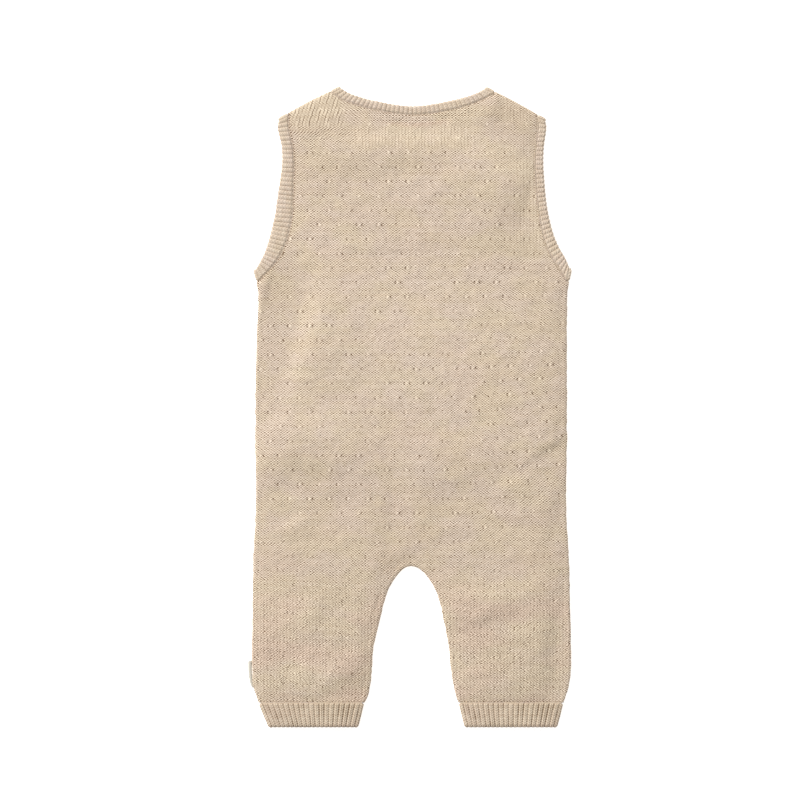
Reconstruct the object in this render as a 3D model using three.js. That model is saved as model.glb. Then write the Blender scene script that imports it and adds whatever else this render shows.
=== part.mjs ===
// Sleeveless baby romper in fine cotton knit, with 1x1 ribbed bands at the neck, armholes and legs.
// It lies flat on its front, back uppermost: X to the right, Y up the garment, Z up, in millimetres.
// Left and right are those of the picture, which on a garment seen from behind are the wearer's own.
import * as THREE from 'three';

// Driving sizes
const wall = 2.2; // one layer of the body's knit
const gap = 0.3; // between pieces at their seams
const bowSpare = 0.12; // added to the gap along bowed seams, where a panel's edge is straight between its points
const frontNeckSpare = 0.35; // the same at the front neck, which has fewer points
const rim = 0.8; // height of a panel's edge face, before it rounds off
const rounding = 2.5; // how far in from its edge a panel's face rounds off
const loft = 1.8; // air between back and front, away from the edges
const loftReach = 14; // how far in from the edge the loft takes to build up
const foldReach = 8; // the same for the folds
const ribbing = 2.2; // one layer of the neck and armhole bands, in the valleys of the ribs
const ribRise = 0.9; // how far a rib's crest stands above its valleys
const bandGap = 0.4; // between the two layers of a band
const cuffRibbing = 2.4;
const cuffGap = 1.0; // the cuffs stay open
const neckRib = 3.5; // pitch of the ribs along each band
const armRib = 3.6;
const cuffRibs = 19; // ribs across a flat cuff
const plainStep = 9; // spacing of sections where a band rests flat and has no ribs
const foldSteps = 6; // sections round the fold at each end of a flat band
const crotchTop = -124.2; // height of the top of the gap between the legs
const shoulderShare = 0.235; // share of the width from side to neck, along a shoulder
const neckShare = 0.245; // where the neck's sewn edge starts
const shoulderCrown = 0.5; // how far a shoulder bows up between its ends
const cuffSeam = -230.7;
const legEnd = -250.0; // middle of the cuffs' open ends

const oatmeal = new THREE.Color('#d5c3ad');
const oatmealRib = new THREE.Color('#cdb9a1');
const ivory = new THREE.Color('#ebe4d6');

// Side edges of body and legs, by height: x of the left edge and of the right edge
const sides = [
  { y: 100, left: -119.0, right: 122.2 },
  { y: 84, left: -118.6, right: 122.7 },
  { y: 40, left: -120.4, right: 122.6 },
  { y: -20, left: -121.0, right: 122.6 },
  { y: -80, left: -120.6, right: 122.2 },
  { y: -120, left: -122.7, right: 124.2 },
  { y: -160, left: -123.1, right: 125.2 },
  { y: -200, left: -123.4, right: 126.0 },
  { y: -214, left: -122.9, right: 124.8 },
  { y: -223, left: -121.1, right: 122.7 },
  { y: -232, left: -118.8, right: 120.3 },
];

// Inner edges of the legs, by height, from the top of the gap down to the cuffs
const innerLegs = [
  { y: -124.2, left: 0.75, right: 0.75 },
  { y: -125.3, left: -3.3, right: 5.4 },
  { y: -128.9, left: -7.8, right: 10.4 },
  { y: -138.3, left: -14.6, right: 17.3 },
  { y: -147.7, left: -18.8, right: 21.8 },
  { y: -166.4, left: -23.4, right: 26.4 },
  { y: -185.2, left: -28.1, right: 29.9 },
  { y: -206.0, left: -29.8, right: 32.0 },
  { y: -222.7, left: -32.0, right: 35.2 },
  { y: -232.0, left: -35.2, right: 37.5 },
];

// Armhole bands from shoulder to underarm: the open edge, and the edge sewn to the body
const leftArmhole = [
  { edgeX: -102.3, edgeY: 223.7, seamX: -94.8, seamY: 227.7 },
  { edgeX: -103.2, edgeY: 217.6, seamX: -94.6, seamY: 218.6 },
  { edgeX: -100.2, edgeY: 203.9, seamX: -91.6, seamY: 204.3 },
  { edgeX: -99.8, edgeY: 190.6, seamX: -90.4, seamY: 190.2 },
  { edgeX: -101.3, edgeY: 177.3, seamX: -90.8, seamY: 176.6 },
  { edgeX: -103.5, edgeY: 163.3, seamX: -91.2, seamY: 161.7 },
  { edgeX: -105.3, edgeY: 150.0, seamX: -91.8, seamY: 149.0 },
  { edgeX: -108.8, edgeY: 135.6, seamX: -95.0, seamY: 132.6 },
  { edgeX: -112.5, edgeY: 123.0, seamX: -100.8, seamY: 119.1 },
  { edgeX: -116.4, edgeY: 114.6, seamX: -107.6, seamY: 109.4 },
  { edgeX: -120.3, edgeY: 107.7, seamX: -117.8, seamY: 98.8 },
];
const rightArmhole = [
  { edgeX: 105.5, edgeY: 223.3, seamX: 99.1, seamY: 226.7 },
  { edgeX: 106.2, edgeY: 217.2, seamX: 99.9, seamY: 217.2 },
  { edgeX: 104.4, edgeY: 203.9, seamX: 98.3, seamY: 203.9 },
  { edgeX: 103.9, edgeY: 190.6, seamX: 97.7, seamY: 190.6 },
  { edgeX: 104.7, edgeY: 177.3, seamX: 98.3, seamY: 177.0 },
  { edgeX: 105.9, edgeY: 163.3, seamX: 99.4, seamY: 162.5 },
  { edgeX: 108.0, edgeY: 150.0, seamX: 101.2, seamY: 148.4 },
  { edgeX: 111.6, edgeY: 135.8, seamX: 104.1, seamY: 132.6 },
  { edgeX: 116.1, edgeY: 124.8, seamX: 108.8, seamY: 120.6 },
  { edgeX: 120.8, edgeY: 116.9, seamX: 114.8, seamY: 110.6 },
  { edgeX: 124.4, edgeY: 108.6, seamX: 122.2, seamY: 98.6 },
];

// Neckband from left shoulder to right shoulder, behind and in front, in the same columns
const backNeck = [
  { edgeX: -53.9, edgeY: 248.8, seamX: -61.2, seamY: 245.2 },
  { edgeX: -45.6, edgeY: 244.3, seamX: -50.4, seamY: 239.2 },
  { edgeX: -28.1, edgeY: 239.2, seamX: -30.9, seamY: 232.9 },
  { edgeX: 1.6, edgeY: 234.9, seamX: 1.6, seamY: 228.4 },
  { edgeX: 30.5, edgeY: 238.9, seamX: 32.8, seamY: 232.3 },
  { edgeX: 49.4, edgeY: 244.1, seamX: 53.4, seamY: 238.8 },
  { edgeX: 58.5, edgeY: 248.6, seamX: 65.5, seamY: 244.8 },
];
const frontNeck = [
  { edgeX: -53.9, edgeY: 248.8, seamX: -61.2, seamY: 245.2 },
  { edgeX: -50.0, edgeY: 237.0, seamX: -57.6, seamY: 233.4 },
  { edgeX: -34.0, edgeY: 217.0, seamX: -38.9, seamY: 211.6 },
  { edgeX: 2.3, edgeY: 206.0, seamX: 2.3, seamY: 199.2 },
  { edgeX: 38.5, edgeY: 217.0, seamX: 43.4, seamY: 211.6 },
  { edgeX: 54.6, edgeY: 237.0, seamX: 61.9, seamY: 233.4 },
  { edgeX: 58.5, edgeY: 248.6, seamX: 65.5, seamY: 244.8 },
];

// Leg cuffs: the row sewn to the leg and the open end
const leftCuff = { seamLeft: -118.2, seamRight: -36.0, endLeft: -110.2, endRight: -40.6 };
const rightCuff = { seamLeft: 38.2, seamRight: 119.6, endLeft: 42.8, endRight: 114.8 };

// Soft folds of the back: middle, half length, half width, lean of the length from upright, rise
const folds = [
  { x: -82, y: 60, long: 44, wide: 9, lean: 16, rise: 1.5 },
  { x: -103, y: 92, long: 20, wide: 7, lean: 10, rise: -1.0 },
  { x: -78, y: -12, long: 32, wide: 12, lean: 84, rise: 0.9 },
  { x: 64, y: 194, long: 46, wide: 11, lean: 62, rise: 1.0 },
  { x: 82, y: 154, long: 26, wide: 9, lean: 20, rise: -1.0 },
  { x: 108, y: -28, long: 24, wide: 8, lean: 48, rise: -0.9 },
  { x: 98, y: -44, long: 30, wide: 8, lean: 52, rise: 1.0 },
  { x: -20, y: -92, long: 34, wide: 8, lean: -8, rise: -1.1 },
  { x: 6, y: -70, long: 40, wide: 14, lean: 4, rise: 0.8 },
  { x: -60, y: -84, long: 30, wide: 11, lean: 60, rise: -0.7 },
  { x: 66, y: -144, long: 32, wide: 8, lean: 86, rise: 1.1 },
  { x: 74, y: -170, long: 26, wide: 9, lean: 78, rise: -0.9 },
  { x: -62, y: -196, long: 26, wide: 8, lean: 58, rise: -0.8 },
  { x: -84, y: -158, long: 30, wide: 12, lean: 40, rise: 0.8 },
];

// Height that the folds add to the back panel at a point
function foldHeight(x, y) {
  let height = 0;
  for (const fold of folds) {
    const lean = THREE.MathUtils.degToRad(fold.lean);
    const along = (x - fold.x) * Math.sin(lean) + (y - fold.y) * Math.cos(lean);
    const across = (x - fold.x) * Math.cos(lean) - (y - fold.y) * Math.sin(lean);
    height += fold.rise * Math.exp(-((along / fold.long) ** 2) - (across / fold.wide) ** 2);
  }
  return height;
}

// A smooth value of one column of a table whose rows are sorted by falling height
function atHeight(table, column, y) {
  const rows = table.map((row) => new THREE.Vector2(row.y, row[column]));
  const last = rows.length - 1;
  let i = rows.findIndex((row) => y > row.x);
  i = i < 0 ? last : Math.max(i, 1);
  const [a, b] = [rows[i - 1], rows[i]];
  const t = THREE.MathUtils.clamp((y - a.x) / (b.x - a.x), 0, 1);
  const slopeA = i > 1 ? (b.y - rows[i - 2].y) / (b.x - rows[i - 2].x) : (b.y - a.y) / (b.x - a.x);
  const slopeB = i < last ? (rows[i + 1].y - a.y) / (rows[i + 1].x - a.x) : (b.y - a.y) / (b.x - a.x);
  const step = b.x - a.x;
  return (2 * t ** 3 - 3 * t ** 2 + 1) * a.y + (t ** 3 - 2 * t ** 2 + t) * step * slopeA
    + (3 * t ** 2 - 2 * t ** 3) * b.y + (t ** 3 - t ** 2) * step * slopeB;
}

// A mesh from points and quads or triangles, turned so that its faces point out
function solid(name, points, faces, colour) {
  const triangles = faces.flatMap(([a, b, c, d]) => (d === undefined ? [[a, b, c]] : [[a, b, c], [a, c, d]]));
  let volume = 0;
  for (const [a, b, c] of triangles) {
    volume += points[a].dot(new THREE.Vector3().crossVectors(points[b], points[c]));
  }
  const index = triangles.flatMap(([a, b, c]) => (volume < 0 ? [a, c, b] : [a, b, c]));
  const geometry = new THREE.BufferGeometry().setFromPoints(points);
  geometry.setIndex(index);
  geometry.computeVertexNormals();
  const cloth = new THREE.MeshStandardMaterial({ color: colour, roughness: 0.95, metalness: 0 });
  const mesh = new THREE.Mesh(geometry, cloth);
  mesh.name = name;
  return mesh;
}

// The two edges of a band as curves, read with the same parameter
function bandCurves(table) {
  const seam = new THREE.SplineCurve(table.map((row) => new THREE.Vector2(row.seamX, row.seamY)));
  const edge = new THREE.SplineCurve(table.map((row) => new THREE.Vector2(row.edgeX, row.edgeY)));
  return { seam, edge };
}

// Parameters that are evenly spaced along the middle of a band
function evenSteps(curves, count) {
  const fine = 400;
  const lengths = [0];
  const middle = (t) => curves.seam.getPoint(t).add(curves.edge.getPoint(t)).multiplyScalar(0.5);
  for (let i = 1; i <= fine; i += 1) {
    lengths.push(lengths[i - 1] + middle(i / fine).distanceTo(middle((i - 1) / fine)));
  }
  const steps = [];
  for (let k = 0, i = 1; k <= count; k += 1) {
    const wanted = (lengths[fine] * k) / count;
    while (i < fine && lengths[i] < wanted) i += 1;
    const part = (wanted - lengths[i - 1]) / (lengths[i] - lengths[i - 1]);
    steps.push((i - 1 + part) / fine);
  }
  return { steps, length: lengths[fine] };
}

// Direction that leaves a band at its end, square to the line across the band there
function outward(seam, edge, inside) {
  const square = new THREE.Vector2(edge.y - seam.y, seam.x - edge.x).normalize();
  return square.dot(inside.clone().sub(seam)) > 0 ? square.negate() : square;
}

// Cross sections of one layer: share of the width from seam to open edge, share of the thickness,
// share of the rib's rise, and how far the rib pushes the point past the open edge
const rolledSection = [
  { across: 0.0, out: 0.0, rib: 0, push: 0 },
  { across: 0.0, out: 0.45, rib: 0.3, push: 0 },
  { across: 0.12, out: 0.9, rib: 1, push: 0 },
  { across: 0.32, out: 1.0, rib: 1, push: 0 },
  { across: 0.66, out: 1.0, rib: 1, push: 0 },
  { across: 0.88, out: 0.84, rib: 1, push: 0.3 },
  { across: 1.0, out: 0.45, rib: 0.6, push: 0.4 },
  { across: 0.95, out: 0.0, rib: 0, push: 0 },
];
const flatSection = [
  { across: 0.0, out: 0.0, rib: 0, push: 0 },
  { across: 0.0, out: 0.5, rib: 0.2, push: 0 },
  { across: 0.04, out: 0.92, rib: 0.6, push: 0 },
  { across: 0.12, out: 1.0, rib: 1, push: 0 },
  { across: 0.86, out: 1.0, rib: 1, push: 0 },
  { across: 0.96, out: 0.86, rib: 0.9, push: 0.2 },
  { across: 1.0, out: 0.45, rib: 0.5, push: 0.4 },
  { across: 0.98, out: 0.0, rib: 0, push: 0 },
];

// Sections round a flat, closed band: ribbed over the back and the two folds, plain where it rests
function bandStations(backTable, frontTable, ribPhases, ribCount) {
  const back = bandCurves(backTable);
  const front = bandCurves(frontTable);
  const up = new THREE.Vector3(0, 0, 1);
  const stations = [];
  const place = (curves, t, direction, crest) => {
    stations.push({ seam: curves.seam.getPoint(t), edge: curves.edge.getPoint(t), direction, crest });
  };
  const turn = (curves, t, from) => {
    const [seam, edge] = [curves.seam.getPoint(t), curves.edge.getPoint(t)];
    const flat = outward(seam, edge, curves.seam.getPoint(Math.abs(t - 0.05)));
    for (let k = 1; k < foldSteps; k += 1) {
      const angle = (Math.PI * k) / foldSteps;
      const out = new THREE.Vector3(flat.x, flat.y, 0).multiplyScalar(Math.sin(angle));
      out.addScaledVector(up, from * Math.cos(angle));
      stations.push({ seam, edge, direction: out, crest: k % 2 ? 0 : 0.8 });
    }
  };
  const even = evenSteps(back, ribCount * ribPhases.length).steps;
  even.forEach((t, i) => place(back, t, up, ribPhases[i % ribPhases.length]));
  turn(back, 1, 1);
  const plain = Math.round(evenSteps(front, 1).length / plainStep);
  const down = up.clone().negate();
  evenSteps(front, plain).steps.reverse().forEach((t) => place(front, t, down, 0));
  turn(back, 0, -1);
  return stations;
}

// One closed, flattened band: two layers, folded over at both ends, open between them
function ribbedBand(name, stations, section, thickness, between) {
  const middle = between / 2 + thickness;
  const points = [];
  for (const { seam, edge, direction, crest } of stations) {
    const across = edge.clone().sub(seam);
    const side = across.clone().normalize();
    for (const row of section) {
      const flat = seam.clone().addScaledVector(across, row.across).addScaledVector(side, row.push * crest);
      const reach = between / 2 + thickness * row.out + ribRise * row.rib * crest;
      points.push(new THREE.Vector3(flat.x, flat.y, middle).addScaledVector(direction, reach));
    }
  }
  const n = section.length;
  const faces = [];
  for (let i = 0; i < stations.length; i += 1) {
    const next = (i + 1) % stations.length;
    for (let k = 0; k < n; k += 1) {
      faces.push([i * n + k, i * n + ((k + 1) % n), next * n + ((k + 1) % n), next * n + k]);
    }
  }
  return solid(name, points, faces, oatmealRib);
}

// Edge of the body along a band: the band's seam, moved clear of it, with the points that carry the edge
// on past the band's folded ends
function seamLine(table, clear) {
  const { seam, edge } = bandCurves(table);
  const samples = 60;
  const line = [];
  for (let i = 0; i <= samples; i += 1) {
    const [s, e] = [seam.getPoint(i / samples), edge.getPoint(i / samples)];
    line.push(s.clone().addScaledVector(s.clone().sub(e).normalize(), clear));
  }
  const past = (end, inside) => outward(seam.getPoint(end), edge.getPoint(end), seam.getPoint(inside))
    .multiplyScalar(ribbing - 0.1);
  return {
    line,
    start: line[0].clone().add(past(0, 0.05)),
    end: line[samples].clone().add(past(1, 0.95)),
  };
}

// A point at a share of a line's length
function onLine(line, share) {
  const lengths = [0];
  for (let i = 1; i < line.length; i += 1) lengths.push(lengths[i - 1] + line[i].distanceTo(line[i - 1]));
  const wanted = share * lengths[lengths.length - 1];
  let i = lengths.findIndex((length) => length >= wanted);
  i = Math.max(i, 1);
  const part = (wanted - lengths[i - 1]) / (lengths[i] - lengths[i - 1]);
  return line[i - 1].clone().lerp(line[i], THREE.MathUtils.clamp(part, 0, 1));
}

// A panel's net of flat points: a yoke between the armholes, the trunk, and two legs
function panelNet(neckTable, neckClear, columns, yokeRows, trunkStep, legRows) {
  const whole = ({ start, line, end }) => [start, ...line, end];
  const leftLine = whole(seamLine(leftArmhole, gap + bowSpare));
  const rightLine = whole(seamLine(rightArmhole, gap + bowSpare));
  const neck = seamLine(neckTable, neckClear);
  const chest = Math.min(leftLine[leftLine.length - 1].y, rightLine[rightLine.length - 1].y);
  const shoulder = (from, to, share) => {
    const point = from.clone().lerp(to, share);
    point.y += shoulderCrown * Math.sin(Math.PI * share);
    return point;
  };
  const top = (share) => {
    const fromSide = Math.min(share, 1 - share);
    const onLeft = share < 0.5;
    if (fromSide <= shoulderShare) {
      const [corner, tip] = onLeft ? [leftLine[0], neck.start] : [rightLine[0], neck.end];
      return shoulder(corner, tip, fromSide / shoulderShare);
    }
    if (fromSide < neckShare) return (onLeft ? neck.line[0] : neck.line[neck.line.length - 1]).clone();
    return onLine(neck.line, (share - neckShare) / (1 - 2 * neckShare));
  };
  const left = (y) => atHeight(sides, 'left', y);
  const right = (y) => atHeight(sides, 'right', y);
  const [lowLeft, lowRight] = [leftLine[leftLine.length - 1], rightLine[rightLine.length - 1]];
  const points = [];
  const rows = [];
  for (const v of yokeRows) {
    const [l, r] = [onLine(leftLine, v), onLine(rightLine, v)];
    rows.push(columns.map((share) => {
      const base = lowLeft.clone().lerp(lowRight, share);
      const corner = leftLine[0].clone().lerp(rightLine[0], share).lerp(base, v);
      const point = top(share).lerp(base, v).add(l.clone().lerp(r, share)).sub(corner);
      return points.push(point) - 1;
    }));
  }
  const trunk = Math.round((chest - crotchTop) / trunkStep);
  const heights = [];
  for (let i = 1; i < trunk; i += 1) heights.push(chest + ((crotchTop + 3 - chest) * i) / (trunk - 1));
  heights.push(crotchTop + 1, crotchTop);
  const blend = 12; // the first rows below the armholes ease from their end points to the side edges
  for (const y of heights) {
    const ease = THREE.MathUtils.smoothstep(chest - y, 0, blend);
    const l = new THREE.Vector2(lowLeft.x + (left(y) - lowLeft.x) * ease, y);
    const r = new THREE.Vector2(lowRight.x + (right(y) - lowRight.x) * ease, y);
    rows.push(columns.map((share) => points.push(l.clone().lerp(r, share)) - 1));
  }
  const half = (columns.length - 1) / 2;
  const faces = [];
  const quads = (upper, lower) => {
    for (let j = 0; j < upper.length - 1; j += 1) {
      faces.push([upper[j], upper[j + 1], lower[j + 1], lower[j]]);
    }
  };
  for (let i = 0; i < rows.length - 1; i += 1) quads(rows[i], rows[i + 1]);
  let leftRow = rows[rows.length - 1].slice(0, half + 1);
  let rightRow = rows[rows.length - 1].slice(half);
  for (const y of legRows) {
    const [innerL, innerR] = [atHeight(innerLegs, 'left', y), atHeight(innerLegs, 'right', y)];
    const place = (from, to, share) => points.push(new THREE.Vector2(from + (to - from) * share, y)) - 1;
    const nextLeft = columns.slice(0, half + 1).map((share) => place(left(y), innerL, share * 2));
    const nextRight = columns.slice(half).map((share) => place(innerR, right(y), share * 2 - 1));
    quads(leftRow, nextLeft);
    quads(rightRow, nextRight);
    [leftRow, rightRow] = [nextLeft, nextRight];
  }
  return { points, faces };
}

// Edges that only one face of a net uses, in that face's direction
function borderEdges(faces) {
  const used = new Map();
  for (const face of faces) {
    face.forEach((a, k) => {
      const b = face[(k + 1) % face.length];
      if (used.has(`${b},${a}`)) used.delete(`${b},${a}`);
      else used.set(`${a},${b}`, [a, b]);
    });
  }
  return [...used.values()];
}

// A panel of one wall's thickness over a net, rounded at its edges on the outer face
function panel(name, net, innerZ, outerZ) {
  const border = borderEdges(net.faces);
  const toEdge = (p) => {
    let nearest = Infinity;
    for (const [a, b] of border) {
      const [from, to] = [net.points[a], net.points[b]];
      const side = to.clone().sub(from);
      const share = THREE.MathUtils.clamp(p.clone().sub(from).dot(side) / side.lengthSq(), 0, 1);
      nearest = Math.min(nearest, p.distanceTo(from.clone().addScaledVector(side, share)));
    }
    return nearest;
  };
  const distances = net.points.map(toEdge);
  const count = net.points.length;
  const face = (height) => net.points.map((p, i) => new THREE.Vector3(p.x, p.y, height(p, distances[i])));
  const points = [...face(outerZ), ...face(innerZ)];
  const faces = [...net.faces];
  for (const quad of net.faces) faces.push(quad.map((i) => i + count).reverse());
  for (const [a, b] of border) faces.push([b, a, a + count, b + count]);
  return solid(name, points, faces, oatmeal);
}

// Share of full thickness reached at a distance from the edge, as a quarter circle
function roundOff(distance) {
  const left = 1 - Math.min(distance / rounding, 1);
  return rim + (wall - rim) * Math.sqrt(1 - left * left);
}

// Height of the back panel's lower face
function backLift(p, distance) {
  const air = loft * (1 - Math.exp(-distance / loftReach));
  const fold = foldHeight(p.x, p.y) * (1 - Math.exp(-distance / foldReach));
  return wall + gap + Math.max(0, air + fold);
}

// Column places, as shares of the width, mirrored: from the side's rounding to that beside the legs' gap
function columnShares(sideColumns, neckColumns) {
  const half = [0, ...sideColumns, shoulderShare, neckShare, ...neckColumns];
  return [...half, 0.5, ...half.map((share) => 1 - share).reverse()];
}

// Rows between shoulder and underarm, as shares of the armhole, closer where it curves
const yokeRows = [0, 0.009, 0.018, 0.08, 0.17, 0.27, 0.37, 0.47, 0.57, 0.66, 0.74, 0.81, 0.87, 0.93, 0.98, 1];

const backColumns = columnShares([0.0045, 0.0105, 0.06, 0.12, 0.18],
  [0.285, 0.325, 0.37, 0.415, 0.455, 0.489, 0.4965]);
const backNet = panelNet(backNeck, gap + bowSpare, backColumns, yokeRows, 15,
  [-125.3, -127.2, -130.5, -135.5, -142.5, -152, -164, -178, -192, -205, -216, -225, -229.2, cuffSeam]);
const frontColumns = columnShares([0.009, 0.12], [0.275, 0.305, 0.34, 0.38, 0.42, 0.46, 0.4925]);
const frontNet = panelNet(frontNeck, gap + frontNeckSpare, frontColumns, yokeRows.filter((v) => v !== 0.009), 45,
  [-125.3, -128.9, -134, -144, -160, -180, -204, -222, -228.6, cuffSeam]);

const backPanel = panel('back_panel', backNet, backLift,
  (p, distance) => backLift(p, distance) + roundOff(distance));
const frontPanel = panel('front_panel', frontNet, () => wall, (p, distance) => wall - roundOff(distance));

const zigzag = [0, 1];
const broadRibs = [0, 1, 0.9];

const neckCount = Math.round(evenSteps(bandCurves(backNeck), 1).length / neckRib);
const neckband = ribbedBand('neckband', bandStations(backNeck, frontNeck, zigzag, neckCount),
  rolledSection, ribbing, bandGap);

// An armhole band's two layers lie on each other, with its ribs square to the armhole
function armholeBand(name, table) {
  const count = Math.round(evenSteps(bandCurves(table), 1).length / armRib);
  return ribbedBand(name, bandStations(table, table, zigzag, count), rolledSection, ribbing, bandGap);
}

// A cuff runs from side to side, with its ribs down the leg, drawn in towards its open end
function legCuff(name, cuff) {
  const inset = cuffRibbing + cuffGap / 2; // the folds at the sides reach out by this much
  const top = cuffSeam - gap;
  const rows = [0, 0.5, 1].map((share) => ({
    seamX: THREE.MathUtils.lerp(cuff.seamLeft + inset, cuff.seamRight - inset, share),
    seamY: top,
    edgeX: THREE.MathUtils.lerp(cuff.endLeft + inset, cuff.endRight - inset, share),
    edgeY: legEnd,
  }));
  return ribbedBand(name, bandStations(rows, rows, broadRibs, cuffRibs), flatSection, cuffRibbing, cuffGap);
}

// A small folded tape label, sewn into the left side seam above the cuff, so only its fold stands out
function labelTab() {
  const tape = 1.0; // two layers of woven tape
  const middle = wall + gap / 2;
  const rows = [
    { y: -198.2, out: 2.4 },
    { y: -199.4, out: 2.9 },
    { y: -205, out: 2.9 },
    { y: -211, out: 2.6 },
    { y: -217, out: 2.0 },
    { y: -219.4, out: 1.1 },
  ];
  const points = [];
  for (const row of rows) {
    const inner = atHeight(sides, 'left', row.y) - gap;
    for (const [x, z] of [[0, -0.5], [-row.out + 0.3, -0.5], [-row.out, 0], [-row.out + 0.3, 0.5], [0, 0.5]]) {
      points.push(new THREE.Vector3(inner + x, row.y, middle + z * tape));
    }
  }
  const n = 5;
  const faces = [[0, 1, 2, 3, 4], [0, 1, 2, 3, 4].map((k) => k + n * (rows.length - 1)).reverse()]
    .flatMap(([a, b, c, d, e]) => [[a, b, c, d], [a, d, e]]);
  for (let i = 0; i < rows.length - 1; i += 1) {
    for (let k = 0; k < n; k += 1) {
      const next = (k + 1) % n;
      faces.push([i * n + next, i * n + k, (i + 1) * n + k, (i + 1) * n + next]);
    }
  }
  return solid('label_tab', points, faces, ivory);
}

const romper = new THREE.Group();
romper.name = 'baby_romper';
romper.add(
  backPanel,
  frontPanel,
  neckband,
  armholeBand('armhole_band_left', leftArmhole),
  armholeBand('armhole_band_right', rightArmhole),
  legCuff('leg_cuff_left', leftCuff),
  legCuff('leg_cuff_right', rightCuff),
  labelTab(),
);

export default romper;
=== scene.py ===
"""Sleeveless baby romper in fine cotton knit, laid flat on its front with the back uppermost.
Sizes are in millimetres until a mesh is made; a share runs from 0 to 1 along or across a piece."""
import math
import bpy
import numpy as np
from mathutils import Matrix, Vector, kdtree, noise


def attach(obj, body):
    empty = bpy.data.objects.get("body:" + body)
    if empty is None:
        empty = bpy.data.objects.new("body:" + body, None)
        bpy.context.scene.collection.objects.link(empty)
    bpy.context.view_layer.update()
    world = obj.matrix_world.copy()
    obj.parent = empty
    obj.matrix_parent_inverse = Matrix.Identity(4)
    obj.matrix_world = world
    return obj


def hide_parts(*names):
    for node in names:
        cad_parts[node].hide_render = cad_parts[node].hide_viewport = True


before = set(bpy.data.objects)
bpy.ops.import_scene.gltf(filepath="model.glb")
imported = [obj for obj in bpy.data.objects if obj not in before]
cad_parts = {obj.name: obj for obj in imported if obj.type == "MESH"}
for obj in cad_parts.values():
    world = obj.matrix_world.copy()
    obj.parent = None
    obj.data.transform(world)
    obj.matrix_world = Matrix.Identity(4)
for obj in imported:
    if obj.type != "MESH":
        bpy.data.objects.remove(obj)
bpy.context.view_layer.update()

# Back panel: one fully fashioned piece of fine jersey in oatmeal melange cotton, from the shoulders down to
# the legs, with a small diamond lattice of transfer eyelets. It is knitted to shape, linked to the front at
# the sides and shoulders, and lies uppermost here, in soft folds.
wall = 2.2  # one layer of the jersey
solid_gap, seam_gap = 0.3, 0.1  # between solids at a seam; here the cloth comes closer to its bands
layer_gap = 0.3  # between back and front where they lie closest
free_rim, free_rounding = 0.8, 2.5  # straight part of a folded edge, and the width of its rounding
sewn_rim, sewn_rounding = 1.4, 1.2  # the same along a band
loft, loft_reach, fold_reach = 2.4, 14, 8  # air between the layers, and how far from an edge it builds up
crease_reach, cockle = 3, 0.52  # the same for creases, and the rise of the small uneven lumps between them
wale, course = 2.565, 1.875  # width and height of a stitch
first_wale, first_course = -31.875, 198.4  # where the stitches are counted from
crotch_top, cuff_seam = -124.2, -230.7
cuff_row = cuff_seam - solid_gap  # where a cuff starts
cuff_line = cuff_row + seam_gap  # and where the leg ends above it
shoulder_share, neck_share = 0.235, 0.245  # shares of the width where shoulder and neck edge end
shoulder_crown = 0.5  # how far a shoulder bows out
past_band = 2.1  # how far a panel's edge is carried on past the ends of a band
underarm_ease = 12  # height in which the sides leave the underarms
trial_step = 0.2  # distances are measured to places this far apart on a line
link_step = 2.35  # from one linked stitch to the next

sides = {  # outer edges of body and legs
    "y": [100, 84, 40, -20, -80, -120, -160, -200, -214, -223, -232],
    "left": [-119.0, -118.6, -120.4, -121.0, -120.6, -122.7, -123.1, -123.4, -122.9, -121.1, -118.0],
    "right": [122.2, 122.7, 122.6, 122.6, 122.2, 124.2, 125.2, 126.0, 124.8, 122.7, 119.5],
}
inner_legs = {
    "y": [-124.2, -125.3, -128.9, -138.3, -147.7, -166.4, -185.2, -206.0, -222.7, -232.0],
    "left": [0.75, -3.3, -7.8, -14.6, -18.8, -23.4, -28.1, -29.8, -32.0, -36.0],
    "right": [0.75, 5.4, 10.4, 17.3, 21.8, 26.4, 29.9, 32.0, 35.2, 38.0],
}
left_armhole = {  # from shoulder to underarm: the band's open edge, and its edge sewn to the body
    "edge_x": [-102.3, -103.2, -100.2, -99.8, -101.3, -103.5, -105.3, -108.8, -112.5, -116.4, -120.3],
    "edge_y": [223.7, 217.6, 203.9, 190.6, 177.3, 163.3, 150.0, 135.6, 123.0, 114.6, 107.7],
    "seam_x": [-94.8, -94.6, -91.6, -90.4, -90.8, -91.2, -91.8, -95.0, -100.8, -107.6, -117.8],
    "seam_y": [227.7, 218.6, 204.3, 190.2, 176.6, 161.7, 149.0, 132.6, 119.1, 109.4, 98.8],
}
right_armhole = {
    "edge_x": [105.5, 106.2, 104.4, 103.9, 104.7, 105.9, 108.0, 111.6, 116.1, 120.8, 124.4],
    "edge_y": [223.3, 217.2, 203.9, 190.6, 177.3, 163.3, 150.0, 135.8, 124.8, 116.9, 108.6],
    "seam_x": [99.1, 99.9, 98.3, 97.7, 98.3, 99.4, 101.2, 104.1, 108.8, 114.8, 122.2],
    "seam_y": [226.7, 217.2, 203.9, 190.6, 177.0, 162.5, 148.4, 132.6, 120.6, 110.6, 98.6],
}
back_neck = {  # from left shoulder to right shoulder
    "edge_x": [-53.9, -45.6, -28.1, 1.6, 30.5, 49.4, 58.5],
    "edge_y": [248.8, 244.3, 239.2, 234.9, 238.9, 244.1, 248.6],
    "seam_x": [-61.2, -50.4, -30.9, 1.6, 32.8, 53.4, 65.5],
    "seam_y": [245.2, 239.2, 232.9, 228.4, 232.3, 238.8, 244.8],
}
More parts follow.
